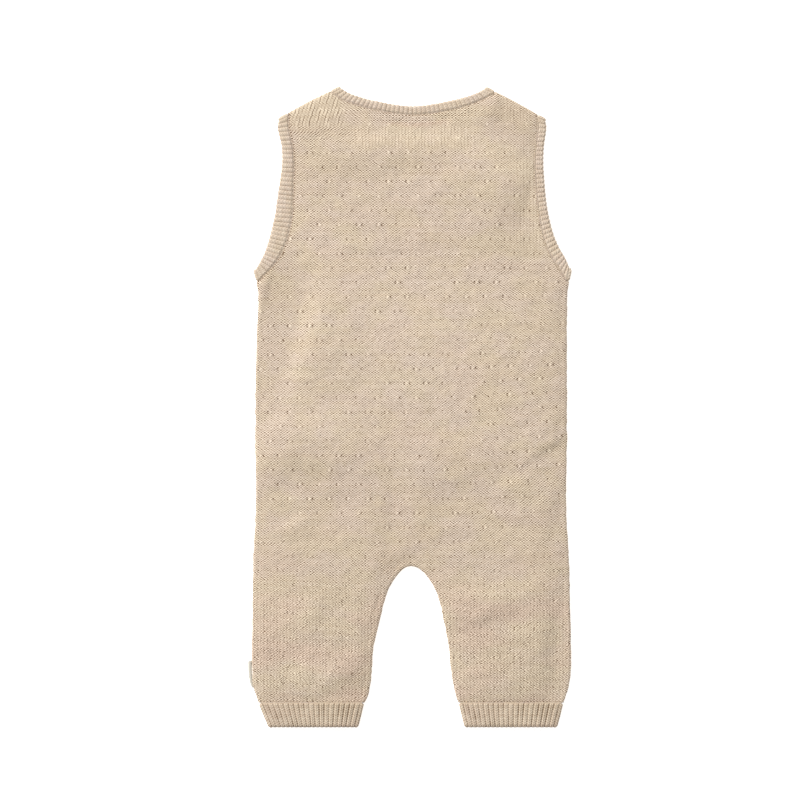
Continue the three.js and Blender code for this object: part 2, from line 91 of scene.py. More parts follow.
folds = {  # middle, half length, half width, lean from upright in degrees, rise
    "x": [-82, -103, -78, 64, 82, 108, 98, -20, 6, -60, 66, 74, -62, -84, -78, -82, 14, -34],
    "y": [60, 92, -12, 194, 154, -28, -44, -92, -70, -84, -144, -170, -196, -158, -166, -208, 60, 20],
    "long": [44, 20, 32, 46, 26, 24, 30, 34, 40, 30, 32, 26, 26, 30, 12, 10, 30, 26],
    "wide": [9, 7, 12, 11, 12, 8, 8, 8, 14, 11, 8, 9, 8, 12, 8, 8, 18, 16],
    "lean": [16, 10, 84, 62, 20, 48, 52, -8, 4, 60, 86, 78, 58, 40, 20, 0, 75, 110],
    "rise": [0.4, -1.0, 0.9, 1.0, -0.6, -0.9, 1.0, -1.1, 0.8,
             -0.7, 1.1, -0.9, -0.8, 0.8, 1.1, 1.0, 0.7, -0.6],
}
creases = {  # sides of soft folds: middle, half length, half width, lean, and height gained left to right
    "x": [-83, -28, 86, 68, 4, -111, -82, -70, 30, 107, -17, -94, -105, 111,
          64, 50, 108, 70, -52, -86, -47, -36, -10, -8, -97, 80, 78, 30],
    "y": [52, 188, 156, 232, 123, 84, -14, -49, -24, -33, -84, -90, -57, -84,
          -146, -168, -190, -201, -215, -203, -170, -182, -119, 209, -46, -58, 188, -62],
    "long": [54, 46, 32, 10, 80, 22, 36, 60, 40, 22, 40, 16, 16, 20,
             28, 28, 50, 20, 22, 16, 24, 24, 10, 45, 24, 22, 22, 50],
    "wide": [12.5, 10, 17, 6, 5, 8, 13, 16, 12, 4.5, 6, 6, 8, 7,
             7, 9, 12, 7, 13, 6, 6, 4, 6, 7, 10, 6, 8, 12],
    "lean": [16, 85, 15, 30, 88, 10, 90, 86, 92, 57, -3, 70, 80, 20,
             88, 86, 5, 80, 60, 80, 0, -10, 20, 90, 88, 72, 80, 90],
    "rise": [5.0, -1.8, -4.2, -1.6, -0.6, -4.6, 2.6, -2.0, 1.9, -3.1, -1.8, 1.6, -0.9, -1.6,
             1.9, -1.7, -4.2, 0.9, -3.0, 0.9, 0.7, -0.9, -1.0, 1.3, -1.3, 1.7, 1.5, -1.8],
}
painted_shade_patches = {  # painted light and shade: patches where the knit is painted paler or darker to stand in for the light and shade of the folds: middle, half sizes, amount
    "x": [6, 80, -108, -72, -42, 74, -108, -95, -75, 78, -66],
    "y": [52, 192, 104, -212, -218, -192, -196, 190, 224, 226, -22],
    "half_x": [110, 40, 18, 22, 14, 22, 14, 22, 26, 24, 22],
    "half_y": [62, 20, 40, 16, 18, 18, 22, 26, 14, 14, 18],
    "amount": [1.0, 0.8, -1.1, 0.9, -1.4, -1.0, -0.9, -0.7, -1.5, -1.7, 0.9],
}
stretched = {  # where it is pulled into slits: limits in which each place sets in and ends, up and across
    "from_y": [(199, 204), (216, 221), (218, 226), (105, 135)],  # yoke, left and right shoulder, right side
    "to_y": [(217, 222), None, None, (200, 222)],
    "from_x": [(-58, -32), (-97, -88), (66, 76), (66, 90)],
    "to_x": [(40, 66), (-58, -44), (92, 98), None],
    "amount": [0.5, 0.85, 0.42, 0.4],
}


def smooth_rows(known, place):
    """Rows at fractional places on the smooth curve through a table's rows."""
    i = np.minimum(place.astype(int), len(known) - 2)
    t = (place - i)[:, None]
    a, b, c, d = (known[np.clip(i + k, 0, len(known) - 1)] for k in (-1, 0, 1, 2))
    go, come = (c - a) / 2, (d - b) / 2
    return (2 * b - 2 * c + go + come) * t**3 + (3 * c - 3 * b - 2 * go - come) * t**2 + go * t + b


def spline(table, kind, share):
    """Points at shares of the smooth curve through a band's seam or edge."""
    known = np.column_stack([table[kind + "_x"], table[kind + "_y"]]).astype(float)
    return smooth_rows(known, np.clip(share, 0, 1) * (len(known) - 1))


def at_height(table, column, y):
    """A smooth value of one column of a table whose rows run downwards."""
    y = np.atleast_1d(np.asarray(y, float))
    h, x = np.array(table["y"], float), np.array(table[column], float)
    i = np.clip(np.searchsorted(-h, -y, side="right"), 1, len(h) - 1)
    step = h[i] - h[i - 1]
    t = np.clip((y - h[i - 1]) / step, 0, 1)
    straight = (x[i] - x[i - 1]) / step
    before, after = np.maximum(i - 2, 0), np.minimum(i + 1, len(h) - 1)
    slope_a = np.where(i > 1, (x[i] - x[before]) / (h[i] - h[before]), straight)
    slope_b = np.where(i < len(h) - 1, (x[after] - x[i - 1]) / (h[after] - h[i - 1]), straight)
    return ((2 * t**3 - 3 * t**2 + 1) * x[i - 1] + (t**3 - 2 * t**2 + t) * step * slope_a
            + (3 * t**2 - 2 * t**3) * x[i] + (t**3 - t**2) * step * slope_b)


def outward(seam, edge, inside):
    """Direction that leaves a band at its end, square to the line across it."""
    square = np.array([edge[1] - seam[1], seam[0] - edge[0]])
    square /= np.linalg.norm(square)
    return -square if square @ (inside - seam) > 0 else square


def seam_line(table, clear):
    """A panel's edge along a band, clear of it, carried on past the band's folded ends."""
    share = np.linspace(0, 1, 121)
    seam, edge = spline(table, "seam", share), spline(table, "edge", share)
    line = seam + clear * (seam - edge) / np.linalg.norm(seam - edge, axis=1)[:, None]
    inside = spline(table, "seam", np.array([0.05, 0.95]))
    first = line[0] + past_band * outward(seam[0], edge[0], inside[0])
    last = line[-1] + past_band * outward(seam[-1], edge[-1], inside[1])
    return np.vstack([first, line, last])


def lengths(line):
    """How far along a line each of its points lies."""
    return np.concatenate([[0], np.cumsum(np.linalg.norm(np.diff(line, axis=0), axis=1))])


def on_line(line, share):
    """Points at shares of a line's length."""
    along = lengths(line)
    wanted = np.atleast_1d(share) * along[-1]
    return np.column_stack([np.interp(wanted, along, line[:, 0]), np.interp(wanted, along, line[:, 1])])


def mirrored(half):
    return np.concatenate([half, [0.5], 1 - np.array(half)[::-1]])


def waver(y, which):
    """Sideways wander of a folded edge: slow waves, and smaller ones from row to row."""
    slow, quick = 7, 2.6
    return np.array([0.45 * noise.noise((h / slow, which, 0)) + 0.35 * noise.noise((h / quick, which, 5))
                     for h in y])


def knitted_net(neck_table, neck_clear, columns, yoke, trunk, legs):
    """Flat points of a panel, and its quads: a yoke between the armholes, the trunk and two legs."""
    left, right = (seam_line(t, seam_gap) for t in (left_armhole, right_armhole))
    neck = seam_line(neck_table, neck_clear)
    top = []
    for share in columns:
        from_side, on_left = min(share, 1 - share), share < 0.5
        if from_side <= shoulder_share:
            along = from_side / shoulder_share
            start, tip = (left[0], neck[0]) if on_left else (right[0], neck[-1])
            top.append(start + (tip - start) * along + [0, shoulder_crown * math.sin(math.pi * along)])
        elif from_side < neck_share:
            top.append(neck[1] if on_left else neck[-2])
        else:
            top.append(on_line(neck[1:-1], (share - neck_share) / (1 - 2 * neck_share))[0])
    top, across = np.array(top), columns[:, None]
    base = left[-1] + (right[-1] - left[-1]) * across
    rows = []
    for v in yoke:
        start, end = on_line(left, v), on_line(right, v)
        corner = (left[0] + (right[0] - left[0]) * across) * (1 - v) + base * v
        rows.append(top * (1 - v) + base * v + start + (end - start) * across - corner)
    chest = min(left[-1][1], right[-1][1])
    trunk = trunk[trunk < chest]
    for y, left_waver, right_waver in zip(trunk, waver(trunk, 0.3), waver(trunk, 2.3)):
        ease = smooth_step(chest - y, 0, underarm_ease)
        start = left[-1][0] + (at_height(sides, "left", y) + left_waver - left[-1][0]) * ease
        end = right[-1][0] + (at_height(sides, "right", y) + right_waver - right[-1][0]) * ease
        rows.append(np.column_stack([start + (end - start) * columns, np.full(len(columns), y)]))
    n, half = len(columns), len(columns) // 2
    grid = np.arange(len(rows) * n).reshape(len(rows), n)
    bottoms = [grid[-1, :half + 1], grid[-1, half:]]
    points, quads = np.vstack(rows), [grid_quads(grid)]
    for side in (0, 1):
        outer, inner = (at_height(table, ("left", "right")[side], legs) for table in (sides, inner_legs))
        # the outer edge doesn't wander beside the cuff, nor the inner one at the crotch
        outer = outer + waver(legs, 0.3 + 2 * side) * ramp(legs, -231, -223)
        inner = inner + waver(legs, 4.3 + 2 * side) * ramp(-legs, 128, 136)
        share = columns[:half + 1] * 2 if side == 0 else columns[half:] * 2 - 1
        start, end = (outer, inner) if side == 0 else (inner, outer)
        x = start[:, None] + (end - start)[:, None] * share
        leg = np.dstack([x, np.repeat(legs[:, None], len(share), 1)]).reshape(-1, 2)
        index = np.arange(len(leg)).reshape(len(legs), -1) + len(points)
        quads.append(grid_quads(np.vstack([bottoms[side], index])))
        points = np.vstack([points, leg])
    return points, np.vstack(quads)


def grid_quads(grid):
    return np.stack([grid[:-1, :-1], grid[:-1, 1:], grid[1:, 1:], grid[1:, :-1]], -1).reshape(-1, 4)


def open_edges(quads):
    """Edges that only one quad has, in that quad's direction."""
    edges = np.stack([quads, np.roll(quads, -1, 1)], -1).reshape(-1, 2)
    key = np.sort(edges, 1)
    _, first, count = np.unique(key[:, 0] * 10**7 + key[:, 1], return_index=True, return_counts=True)
    return edges[first[count == 1]]


def from_edge(points, lines):
    """Distance of each point from the nearest of some lines, each a pair of end points."""
    places = []
    for a, b in lines:
        steps = max(int(np.linalg.norm(b - a) / trial_step), 1)
        places.extend(a + (b - a) * k / steps for k in range(steps + 1))
    return nearest(points, places)[0]


def nearest(points, places):
    """Distance of each point from the nearest of some places, and that place's number."""
    tree = kdtree.KDTree(len(places))
    for i, p in enumerate(places):
        tree.insert((p[0], p[1], 0), i)
    tree.balance()
    found = [tree.find((p[0], p[1], 0)) for p in points]
    return np.array([f[2] for f in found]), np.array([f[1] for f in found])


def bell(value, middle, half):
    return np.exp(-(((value - middle) / half) ** 2))


def along_and_across(p, x, y, lean):
    """Places along and across a fold with a middle and a lean from upright."""
    lean = math.radians(lean)
    along = (p[:, 0] - x) * math.sin(lean) + (p[:, 1] - y) * math.cos(lean)
    return along, (p[:, 0] - x) * math.cos(lean) - (p[:, 1] - y) * math.sin(lean)


def fold_height(p):
    """Height of the folds at flat points, each a long ridge or hollow."""
    height = np.zeros(len(p))
    for x, y, long, wide, lean, rise in zip(*folds.values()):
        along, across = along_and_across(p, x, y, lean)
        height += rise * bell(along, 0, long) * bell(across, 0, wide)
    return height


def crease_height(p):
    """Height of the creases, each a smooth step in the cloth that fades away on both sides."""
    height = np.zeros(len(p))
    for x, y, long, wide, lean, rise in zip(*creases.values()):
        along, across = along_and_across(p, x, y, lean)
        fade = bell(along, 0, long) * bell(across, 0, 3.5 * wide)
        height += rise / 2 * np.tanh(1.5 * across / wide) * fade
    return height


def cockling(p):
    """Small uneven lumps of washed knit, about a finger's width apart, and half as high ones between them."""
    return np.array([noise.noise((x / 13, y / 10, 0)) + 0.5 * noise.noise((x / 5, y / 5, 7)) for x, y in p])


def round_off(distance, rim, rounding):
    """Thickness that a cloth has near its edge, as a quarter circle above a straight rim."""
    return rim + (wall - rim) * np.sqrt(1 - (1 - np.minimum(distance / rounding, 1)) ** 2)


def built_up(distance, reach):
    """Share of its height that the cloth has reached at a distance from its edge."""
    return 1 - np.exp(-distance / reach)


def ramp(value, start, end):
    return np.clip((value - start) / (end - start), 0, 1)


def smooth_step(value, start, end):
    t = ramp(value, start, end)
    return t * t * (3 - 2 * t)


def window(value, rising, falling):
    """Rises from 0 to 1 between one pair of limits, and falls again between the other if there is one."""
    risen = smooth_step(value, *rising)
    return risen if falling is None else risen * smooth_step(-value, -falling[1], -falling[0])


def in_stitches(p):
    """Wales and courses of the jersey at flat points, a little askew in the left leg and at the right."""
    x, y = p[:, 0], p[:, 1]
    left_leg = ramp(-y, 110, 150) * ramp(-x, 0, 30)
    right = ramp(x, 10, 70) * ramp(-y, -105, -20) * ramp(y, -110, -50)
    centre = bell(x, 0, 45) * ramp(-y, -122, -62)
    left_shoulder = smooth_step(y, 208, 222) * smooth_step(-x, 20, 40)
    # the rows slope by a few millimetres in 100, and the columns are pushed and pulled aside
    rise = left_leg * 0.062 * (x + 75) - right * 0.04 * (x - 10)
    shift = right * 5.5 + centre * 1.4 - left_shoulder * (0.09 * (x + 25) + 0.28 * (y - 215))
    return np.column_stack([(x - first_wale + shift) / wale, (y + rise - first_course) / course])


def cloth(name, points, quads, uv, **attributes):
    """A closed piece of cloth from points in millimetres and quads; uv counts stitches at each corner."""
    a, b, c, d = (points[quads[:, k]] for k in range(4))
    if np.einsum("ij,ij->i", a, np.cross(b, c) + np.cross(c, d)).sum() < 0:
        quads, uv = quads[:, ::-1], uv[:, ::-1]
    above = np.column_stack([points[:, :2], np.maximum(points[:, 2], 0)])  # nothing sinks into the floor
    mesh = bpy.data.meshes.new(name)
    mesh.from_pydata((above / 1000).tolist(), [], quads.tolist())
    mesh.shade_smooth()
    mesh.uv_layers.new(name="stitches").data.foreach_set("uv", uv.reshape(-1))
    for label, values in attributes.items():
        mesh.attributes.new(label, "FLOAT", "POINT").data.foreach_set("value", values)
    piece = bpy.data.objects.new(name, mesh)
    bpy.context.scene.collection.objects.link(piece)
    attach(piece, "root")
    return piece


def panel(name, net, lower, upper, **attributes):
    """A panel of cloth between two heights over a net, closed round its edge."""
    points, quads = net
    n, rim_edges = len(points), open_edges(quads)
    solid = np.vstack([np.column_stack([points, upper]), np.column_stack([points, lower])])
    walls = np.column_stack([rim_edges[:, 1], rim_edges[:, 0], rim_edges[:, 0] + n, rim_edges[:, 1] + n])
    faces = np.vstack([quads, quads[:, ::-1] + n, walls])
    twice = {label: np.tile(values, 2) for label, values in attributes.items()}
    return cloth(name, solid, faces, in_stitches(np.tile(points, (2, 1)))[faces], **twice)


def linear(code):
    """An sRGB hex colour in Blender's linear terms."""
    parts = [int(code[i:i + 2], 16) / 255 for i in (0, 2, 4)]
    return [c / 12.92 if c <= 0.04045 else ((c + 0.055) / 1.055) ** 2.4 for c in parts] + [1.0]


def add(material, kind, inputs, out=0, **settings):
    """Adds a node: its inputs by number or name, each a value or a socket to link, and its settings."""
    node = material.node_tree.nodes.new("ShaderNode" + kind)
    for name, value in settings.items():
        setattr(node, name, value)
    for key, value in inputs.items():
        if isinstance(value, bpy.types.NodeSocket):
            material.node_tree.links.new(value, node.inputs[key])
        else:
            node.inputs[key].default_value = value
    return node.outputs[out] if len(node.outputs) else None


def new_material(name):
    """A material with no nodes yet."""
    material = bpy.data.materials.new(name)
    material.use_nodes = True
    material.node_tree.nodes.clear()
    return material


def marked(material, name):
    """A value that the mesh has at each point, by its name."""
    return add(material, "Attribute", {}, out=2, attribute_name=name)


def calc(material, operation, *values, **settings):
    """One step of arithmetic on numbers or sockets."""
    return add(material, "Math", dict(enumerate(values)), operation=operation, **settings)


def mottle(material, place, scale, detail, out=0):
    """Soft noise over places counted in stitches."""
    return add(material, "TexNoise", {"Vector": place, "Scale": scale, "Detail": detail}, out=out,
               noise_dimensions="2D")


# columns and rows of points, closer together at the edges and where the legs part
back_columns = mirrored(np.concatenate([
    [0, 0.0012, 0.0033, 0.0066, 0.0107], np.linspace(0.0165, shoulder_share, 31),
    np.linspace(neck_share, 0.478, 33), [0.4845, 0.4895, 0.4935, 0.4965, 0.4987]]))
back_yoke = np.concatenate([[0, 0.002, 0.006, 0.012, 0.019], np.linspace(0.029, 1, 76)])
trunk_rows = np.append(np.arange(102.0, -122.5, -1.7), crotch_top)
leg_rows = np.concatenate([[-124.6, -125.1, -125.8, -126.8, -128.1, -129.6], np.arange(-131.2, -227.6, -1.66),
                           [-228.1, -229.0, -229.8, -230.4, cuff_line]])
back_net = knitted_net(back_neck, seam_gap, back_columns, back_yoke, trunk_rows, leg_rows)
flat = back_net[0]
border = flat[open_edges(back_net[1])]
edge = from_edge(flat, border)

# Where bands are linked on: the cloth is held flat, and its edge stitches are pulled open.
linked_edges = [(seam_line(table, seam_gap)[1:-1], pull) for table, pull in (
    (back_neck, 0.5), (left_armhole, 0.85), (right_armhole, 0.4))]
leg_ends = ((-118.6, -36.0), (38.2, 120.0))  # left and right end of the row that each cuff is linked to
linked_edges += [(np.array([[a, cuff_line], [b, cuff_line]]), 0.45) for a, b in leg_ends]
places, turns_along, pulls = [], [], []
for line, pull in linked_edges:
    length = lengths(line)[-1]
    along = np.arange(0, length, trial_step)
    places.extend(on_line(line, along / length))
    turns_along.extend(along / link_step)
    pulls.extend([pull] * len(along))
from_band, beside = nearest(flat, places)
pulled = np.array(pulls)[beside] * ramp(-from_band, -1.5, -0.3)
folded = nearest(border.mean(1), places)[0] > 0.4  # parts of the border away from every band
from_fold = from_edge(flat, border[folded])
thick = np.minimum(round_off(from_fold, free_rim, free_rounding),
                   round_off(from_band, sewn_rim, sewn_rounding))
neck_edge = seam_line(back_neck, seam_gap)
neck_depth = from_edge(flat, list(zip(neck_edge[:-1], neck_edge[1:])))
soft_forms = (crease_height(flat) + cockle * cockling(flat)) * built_up(edge, crease_reach)
lift = wall + layer_gap + np.maximum(
    0, loft * built_up(edge, loft_reach) + fold_height(flat) * built_up(edge, fold_reach) + soft_forms)
x, y = flat.T
# the side and inside-leg seams lie a few millimetres inside the folded edges, as faint uneven grooves
seam_inset, seam_half, seam_depth = 4.6, 1.1, 0.45
uneven = 0.6 + np.array([noise.noise((px / 7, py / 16, 3)) for px, py in flat])
lift -= seam_depth * uneven * bell(from_fold, seam_inset, seam_half) * (y < 95)
# where the look of the knit changes, and how much
ladder = np.maximum.reduce([
    amount * window(y, from_y, to_y) * window(x, from_x, to_x)
    for from_y, to_y, from_x, to_x, amount in zip(*stretched.values())])
short_rows = 8.0  # depth of the fuller short rows under the neckband
crescent = smooth_step(-neck_depth, -short_rows - 0.6, 0.6 - short_rows) * window(x, (-42, -20), (40, 62))
join = bell(neck_depth, short_rows + 0.2, 0.8) * window(x, (-26, -10), (22, 38))
# painted light and shade: paler and darker patches from the table of painted patches
fuller = sum(amount * bell(x, mx, hx) * bell(y, my, hy) for mx, my, hx, hy, amount in zip(*painted_shade_patches.values()))
closed_up = np.clip(0.95 + np.array([noise.noise((px / 40, py / 40, 11)) for px, py in flat]), 0.35, 1.3)
lacy = (0.55 + 0.45 * smooth_step(y, -130, -60)) * closed_up  # how open the eyelets are
greyer = bell(x, -6, 52) * window(y, (-120, -60), (150, 200))
back = panel("back_panel_knit", back_net, lift, lift + thick, ladder=ladder, greyer=greyer, crescent=crescent,
             lacy=lacy, join=join, fuller=fuller, legs=smooth_step(-y, 100, 170), pulled=pulled,
             link_turns=np.array(turns_along)[beside])


def melange(material, uv, light, dark, yellower=0.0, pinker=1.0):
    """Oatmeal melange yarn: cream and fawn fibres that change from row to row and in soft clouds."""
    grain = mottle(material, uv, 0.9, 3.0)
    drawn = add(material, "VectorMath", {0: uv, 1: (0.04, 1.0, 1.0)}, operation="MULTIPLY")
    rows = mottle(material, drawn, 0.8, 2.0)
    both = add(material, "Mix", {0: 0.4, 2: grain, 3: rows}, data_type="FLOAT")
    amount = add(material, "MapRange", {0: both, 1: 0.36, 2: 0.64})
    yarn = add(material, "Mix", {0: amount, 6: linear(dark), 7: linear(light)}, out=2, data_type="RGBA")
    clouds = mottle(material, uv, 0.09, 2.0)
    warm = add(material, "MapRange", {0: clouds, 1: 0.36, 2: 0.66})
    warm = calc(material, "ADD", warm, yellower, use_clamp=True)
    tint = add(material, "Mix", {0: warm, 6: linear("fffaf6"), 7: linear("fffbee")}, out=2, data_type="RGBA")
    patches = add(material, "VectorMath", {0: uv, 1: (0.05, 0.07, 0.0)}, operation="MULTIPLY")
    patches = mottle(material, patches, 1.0, 1.0)
    rosy = add(material, "MapRange", {0: patches, 1: 0.42, 2: 0.68})
    rosy = calc(material, "MULTIPLY", rosy, pinker)
    tint = add(material, "Mix", {0: rosy, 6: tint, 7: linear("fff5ee")}, out=2, data_type="RGBA")
    return add(material, "Mix", {0: 1.0, 6: yarn, 7: tint}, out=2, data_type="RGBA", blend_type="MULTIPLY")


def cotton(material, colour, bump):
    """Surface of a cotton knit: matt with a faint bloom."""
    surface = add(material, "BsdfPrincipled", {
        "Base Color": colour, "Roughness": 0.92, "IOR": 1.5, "Specular IOR Level": 0.2, "Sheen Weight": 0.12,
        "Sheen Roughness": 0.5, "Normal": bump})
    add(material, "OutputMaterial", {0: surface})


# Fine jersey of combed cotton melange, machine knitted: small soft V stitches that read as a diagonal
# speckle, and dark pinholes in pairs where stitches were transferred.
jersey = new_material("jersey_knit_cotton_melange")
uv = add(jersey, "UVMap", {}, uv_map="stitches")
wander = mottle(jersey, uv, 0.5, 1.0, out=1)
wander = add(jersey, "VectorMath", {0: wander, 1: (-0.5, -0.5, -0.5)})
legs = marked(jersey, "legs")  # knitted a little looser there
slack = add(jersey, "MapRange", {0: legs, 3: 0.5, 4: 0.85})
slack = add(jersey, "CombineXYZ", {0: slack, 1: slack})
loose = add(jersey, "VectorMath", {0: wander, 1: slack, 2: uv}, operation="MULTIPLY_ADD")
turns = add(jersey, "VectorMath", {0: loose, 1: (2 * math.pi, 2 * math.pi, 0.0)}, operation="MULTIPLY")
across = add(jersey, "SeparateXYZ", {0: turns})
upward = across.node.outputs[1]
rising = calc(jersey, "ADD", across, upward)
rising = calc(jersey, "SINE", rising)
falling = calc(jersey, "SUBTRACT", across, upward)
falling = calc(jersey, "SINE", falling)
slant = mottle(jersey, uv, 0.07, 1.0)
slant = add(jersey, "MapRange", {0: slant, 1: 0.35, 2: 0.65, 3: 0.42, 4: 0.58})
speckle = add(jersey, "Mix", {0: slant, 2: rising, 3: falling}, data_type="FLOAT")
level = calc(jersey, "COSINE", upward)
speckle = calc(jersey, "MULTIPLY_ADD", level, 0.15, speckle)
upright = calc(jersey, "COSINE", across)
column = calc(jersey, "MULTIPLY", upright, legs)
speckle = calc(jersey, "MULTIPLY_ADD", column, -0.22, speckle)
loud = mottle(jersey, uv, 0.55, 1.0)
loud = add(jersey, "MapRange", {0: loud, 1: 0.3, 2: 0.7, 3: 0.5, 4: 1.5})
loud = calc(jersey, "MULTIPLY_ADD", legs, -0.15, loud)
speckle = calc(jersey, "MULTIPLY", speckle, loud)
# the short rows in the middle under the neckband are fuller, and the stitches along a linked edge gape
crescent = marked(jersey, "crescent")
full = add(jersey, "MapRange", {0: crescent, 1: 0.0, 2: 1.0, 3: 1.0, 4: 1.5})
speckle = calc(jersey, "MULTIPLY", speckle, full)
full = calc(jersey, "MULTIPLY", crescent, 0.25)
speckle = calc(jersey, "MULTIPLY_ADD", level, full, speckle)
gape = calc(jersey, "MULTIPLY", marked(jersey, "link_turns"), 2 * math.pi)
gape = calc(jersey, "COSINE", gape)
gape = add(jersey, "MapRange", {0: gape, 1: -0.3, 2: 0.7, 3: 0.1, 4: -1.6})
speckle = calc(jersey, "MULTIPLY_ADD", marked(jersey, "pulled"), gape, speckle)
# vertical slits where the yoke and shoulders are stretched
slit_place = add(jersey, "VectorMath", {0: uv, 1: (1.0, 0.3, 1.0)}, operation="MULTIPLY")
slit_noise = mottle(jersey, slit_place, 0.9, 0.0)
slit_noise = add(jersey, "MapRange", {0: slit_noise, 1: 0.35, 2: 0.65, 3: 0.2, 4: 1.2})
slits = add(jersey, "MapRange", {0: upright, 1: 0.35, 2: 0.98, 3: 0.3, 4: -0.72})
slits = calc(jersey, "MULTIPLY", slits, slit_noise)
slits = calc(jersey, "MULTIPLY_ADD", speckle, 0.32, slits)
ladder_amount = marked(jersey, "ladder")
relief = add(jersey, "Mix", {0: ladder_amount, 2: speckle, 3: slits}, data_type="FLOAT")
# pairs of eyelets, six wales apart in rows six courses apart, each row set half way along from the last
eyelet_repeat, eyelet_aside = 6.0, 0.82  # from pair to pair, and from the middle of a pair to each hole
flat_u = add(jersey, "SeparateXYZ", {0: uv})
flat_v = flat_u.node.outputs[1]
row = calc(jersey, "DIVIDE", flat_v, eyelet_repeat)
row = calc(jersey, "ROUND", row)
row_v = calc(jersey, "MULTIPLY_ADD", row, -eyelet_repeat, flat_v)
odd = calc(jersey, "WRAP", row, 2.0, 0.0)
shifted = calc(jersey, "MULTIPLY_ADD", odd, eyelet_repeat / 2, flat_u)
row_u = calc(jersey, "WRAP", shifted, eyelet_repeat / 2, -eyelet_repeat / 2)
aside = calc(jersey, "ABSOLUTE", row_u)
tall = calc(jersey, "ABSOLUTE", row_v)
off_hole = calc(jersey, "SUBTRACT", aside, eyelet_aside)
off_hole = calc(jersey, "ABSOLUTE", off_hole)
hole_u = add(jersey, "MapRange", {0: off_hole, 1: 0.36, 2: 0.06}, interpolation_type="SMOOTHSTEP")
hole_v = add(jersey, "MapRange", {0: tall, 1: 0.95, 2: 0.2}, interpolation_type="SMOOTHSTEP")
hole = calc(jersey, "MULTIPLY", hole_u, hole_v)
middle = add(jersey, "MapRange", {0: aside, 1: 0.6, 2: 0.1}, interpolation_type="SMOOTHSTEP")
middle = calc(jersey, "MULTIPLY", middle, hole_v)
each = mottle(jersey, uv, 0.55, 0.0)
each = add(jersey, "MapRange", {0: each, 1: 0.38, 2: 0.66, 3: 0.0, 4: 1.0})
each = calc(jersey, "MULTIPLY", each, marked(jersey, "lacy"))
below = add(jersey, "MapRange", {0: flat_v, 1: 1.5, 2: 0.5})
hole = calc(jersey, "MULTIPLY", hole, each)
hole = calc(jersey, "MULTIPLY", hole, below)
middle = calc(jersey, "MULTIPLY", middle, each)
height = calc(jersey, "MULTIPLY_ADD", hole, -1.0, relief)
height = calc(jersey, "MULTIPLY_ADD", middle, 0.7, height)
yellower = calc(jersey, "MULTIPLY_ADD", legs, 0.3, 0.12)
yellower = calc(jersey, "MULTIPLY_ADD", ladder_amount, 0.8, yellower)
yellower = calc(jersey, "MULTIPLY_ADD", marked(jersey, "greyer"), -0.3, yellower)
pinker = calc(jersey, "MULTIPLY_ADD", legs, 0.75, 0.25)
yarn = melange(jersey, uv, "fff2e2", "f3e4d2", yellower, pinker)
depth = add(jersey, "MapRange", {0: height, 1: -1.0, 2: 1.0, 3: 0.0, 4: 1.0}, clamp=False)
# painted shade: the hollows between the yarns and the eyelet holes are painted dark in the colour, besides
# the bump
shade = add(jersey, "MapRange", {0: height, 1: -1.15, 2: 0.72, 3: 1.0, 4: 0.0})
# painted light and shade: the patches make the knit paler or darker
shade = calc(jersey, "MULTIPLY_ADD", marked(jersey, "fuller"), -0.05, shade, use_clamp=True)
colour = add(jersey, "Mix", {0: shade, 6: yarn, 7: linear("694b31")}, out=2, data_type="RGBA")
# where the short rows end, a join shows faintly pink
join = calc(jersey, "MULTIPLY", marked(jersey, "join"), 0.45)
colour = add(jersey, "Mix", {0: join, 6: colour, 7: linear("c79c84")}, out=2, data_type="RGBA")
cotton(jersey, colour, add(jersey, "Bump", {"Height": depth, "Strength": 0.8, "Distance": 0.0003}))
back.data.materials.append(jersey)
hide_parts("back_panel")

# Front panel: the same jersey, cut lower at the neck; it lies face down on the floor under the back panel,
# and shows round the neck opening and from below.
front_neck = {
    "edge_x": [-53.9, -50.0, -34.0, 2.3, 38.5, 54.6, 58.5],
    "edge_y": [248.8, 237.0, 217.0, 206.0, 217.0, 237.0, 248.6],
    "seam_x": [-61.2, -57.6, -38.9, 2.3, 43.4, 61.9, 65.5],
    "seam_y": [245.2, 233.4, 211.6, 199.2, 211.6, 233.4, 244.8],
}
front_columns = mirrored(np.concatenate([
    [0, 0.0033, 0.0107], np.linspace(0.0205, shoulder_share, 22), np.linspace(neck_share, 0.478, 24),
    [0.4895, 0.4965]]))
front_yoke = np.concatenate([[0, 0.006, 0.019], np.linspace(0.035, 1, 52)])
front_rows = np.append(np.arange(102.0, -121.5, -2.5), crotch_top)
front_legs = np.concatenate([[-125.1, -126.8, -129.6], np.arange(-132, -227.5, -2.5), [-229.0, cuff_line]])
front_net = knitted_net(front_neck, solid_gap, front_columns, front_yoke, front_rows, front_legs)
flat = front_net[0]
edge = from_edge(flat, flat[open_edges(front_net[1])])
crease = np.clip(fold_height(flat * [-1, 1]), -0.5, 0.5) * built_up(edge, fold_reach)
underside = wall - round_off(edge, free_rim, free_rounding) + np.maximum(0, crease)
front = panel("front_panel_knit", front_net, underside, np.full(len(flat), wall), lacy=np.ones(len(flat)))
front.data.materials.append(jersey)
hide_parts("front_panel")

# Neckband: 1x1 rib in the same cotton, knitted as a narrow closed strip, linked to the neck edge all round
# and rolled over at its open edge, so its ribs scallop the neckline.
ribbing, band_gap = 2.2, 0.4  # one layer of the rib, and the space between the layers of a band
neck_rib, neck_yarn_height = 3.5, 4.1
rib_steps = 12  # points round each rib
turn_ribs = 2  # ribs round each folded end of a band
plain_step = 1.5  # between points of the hidden half, which is left plain


def even_steps(table, count):
    """Shares that lie evenly along the middle of a band, and its length."""
    share = np.linspace(0, 1, 801)
    along = lengths((spline(table, "seam", share) + spline(table, "edge", share)) / 2)
    return np.interp(np.linspace(0, along[-1], count + 1), along, share), along[-1]


def rib_profile(turn, parting=0.0):
    """Height of a rib for a count of ribs: a round cord beside a narrow valley, parted in the middle."""
    cord = np.power(0.5 - 0.5 * np.cos(2 * math.pi * turn), 0.5)
    return cord * (1 - parting * bell(turn % 1, 0.5, 0.09))


